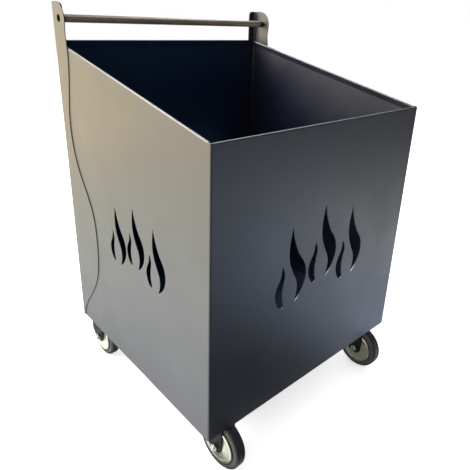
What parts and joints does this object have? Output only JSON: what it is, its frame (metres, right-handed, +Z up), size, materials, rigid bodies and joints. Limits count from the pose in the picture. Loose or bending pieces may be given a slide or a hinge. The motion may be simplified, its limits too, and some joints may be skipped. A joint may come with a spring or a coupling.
{
  "type": "wheeled log bin",
  "caption": "Open-topped sheet-steel firewood bin on swivel casters, with hemmed rims, flame-shaped cut-outs and a tubular push handle between two rear ears.",
  "frame": {"origin": "on the floor, under the middle of the whole object's box", "axes": "+Z up, +Y towards the handle side (back), +X to the right as seen from the front"},
  "size_m": [0.541, 0.5232, 0.8035],
  "materials": {
    "powder_coat": "satin anthracite powder coat",
    "fork_coat": "black passivated pressed steel",
    "zinc": "bright zinc plate",
    "zinc_rim": "zinc-plated pressed disc",
    "bearing_steel": "ground steel",
    "hub_nylon": "black nylon",
    "tyre_rubber": "black rubber"
  },
  "bodies": {
    "root": {"front_wrap": "powder_coat", "rear_panel": "powder_coat", "bottom_panel": "powder_coat", "handle_tube": "powder_coat", "kingpin_washers": "zinc", "kingpin_nuts": "zinc", "front_left_bearing_cup": "fork_coat", "front_left_kingpin": "zinc", "front_right_bearing_cup": "fork_coat", "front_right_kingpin": "zinc", "rear_left_bearing_cup": "fork_coat", "rear_left_kingpin": "zinc", "rear_right_bearing_cup": "fork_coat", "rear_right_kingpin": "zinc"},
    "front_left_caster": {"front_left_fork": "fork_coat", "front_left_swivel_balls": "bearing_steel", "front_left_axle_bolt": "zinc", "front_left_axle_nut": "zinc", "front_left_axle_sleeve": "bearing_steel"},
    "front_left_wheel": {"front_left_hub": "hub_nylon", "front_left_rim_outer": "zinc_rim", "front_left_rim_inner": "zinc_rim", "front_left_tyre": "tyre_rubber"},
    "front_right_caster": {"front_right_fork": "fork_coat", "front_right_swivel_balls": "bearing_steel", "front_right_axle_bolt": "zinc", "front_right_axle_nut": "zinc", "front_right_axle_sleeve": "bearing_steel"},
    "front_right_wheel": {"front_right_hub": "hub_nylon", "front_right_rim_outer": "zinc_rim", "front_right_rim_inner": "zinc_rim", "front_right_tyre": "tyre_rubber"},
    "rear_left_caster": {"rear_left_fork": "fork_coat", "rear_left_swivel_balls": "bearing_steel", "rear_left_axle_bolt": "zinc", "rear_left_axle_nut": "zinc", "rear_left_axle_sleeve": "bearing_steel"},
    "rear_left_wheel": {"rear_left_hub": "hub_nylon", "rear_left_rim_outer": "zinc_rim", "rear_left_rim_inner": "zinc_rim", "rear_left_tyre": "tyre_rubber"},
    "rear_right_caster": {"rear_right_fork": "fork_coat", "rear_right_swivel_balls": "bearing_steel", "rear_right_axle_bolt": "zinc", "rear_right_axle_nut": "zinc", "rear_right_axle_sleeve": "bearing_steel"},
    "rear_right_wheel": {"rear_right_hub": "hub_nylon", "rear_right_rim_outer": "zinc_rim", "rear_right_rim_inner": "zinc_rim", "rear_right_tyre": "tyre_rubber"}
  },
  "joints": [
    {"name": "front_left_swivel", "type": "hinge", "parent": "root", "child": "front_left_caster", "pos_m": [-0.217, -0.19741, 0.108], "axis": [0, 0, 1], "continuous": true},
    {"name": "front_left_spin", "type": "hinge", "parent": "front_left_caster", "child": "front_left_wheel", "pos_m": [-0.21622, -0.21139, 0.05], "axis": [0.9984, 0.0558, 0], "continuous": true},
    {"name": "front_right_swivel", "type": "hinge", "parent": "root", "child": "front_right_caster", "pos_m": [0.217, -0.19741, 0.108], "axis": [0, 0, 1], "continuous": true},
    {"name": "front_right_spin", "type": "hinge", "parent": "front_right_caster", "child": "front_right_wheel", "pos_m": [0.21688, -0.21141, 0.05], "axis": [1, -0.0087, 0], "continuous": true},
    {"name": "rear_left_swivel", "type": "hinge", "parent": "root", "child": "rear_left_caster", "pos_m": [-0.235, 0.22559, 0.108], "axis": [0, 0, 1], "continuous": true},
    {"name": "rear_left_spin", "type": "hinge", "parent": "rear_left_caster", "child": "rear_left_wheel", "pos_m": [-0.2349, 0.21159, 0.05], "axis": [1, 0.007, 0], "continuous": true},
    {"name": "rear_right_swivel", "type": "hinge", "parent": "root", "child": "rear_right_caster", "pos_m": [0.235, 0.22559, 0.108], "axis": [0, 0, 1], "continuous": true},
    {"name": "rear_right_spin", "type": "hinge", "parent": "rear_right_caster", "child": "rear_right_wheel", "pos_m": [0.235, 0.21159, 0.05], "axis": [1, 0, 0], "continuous": true}
  ]
}
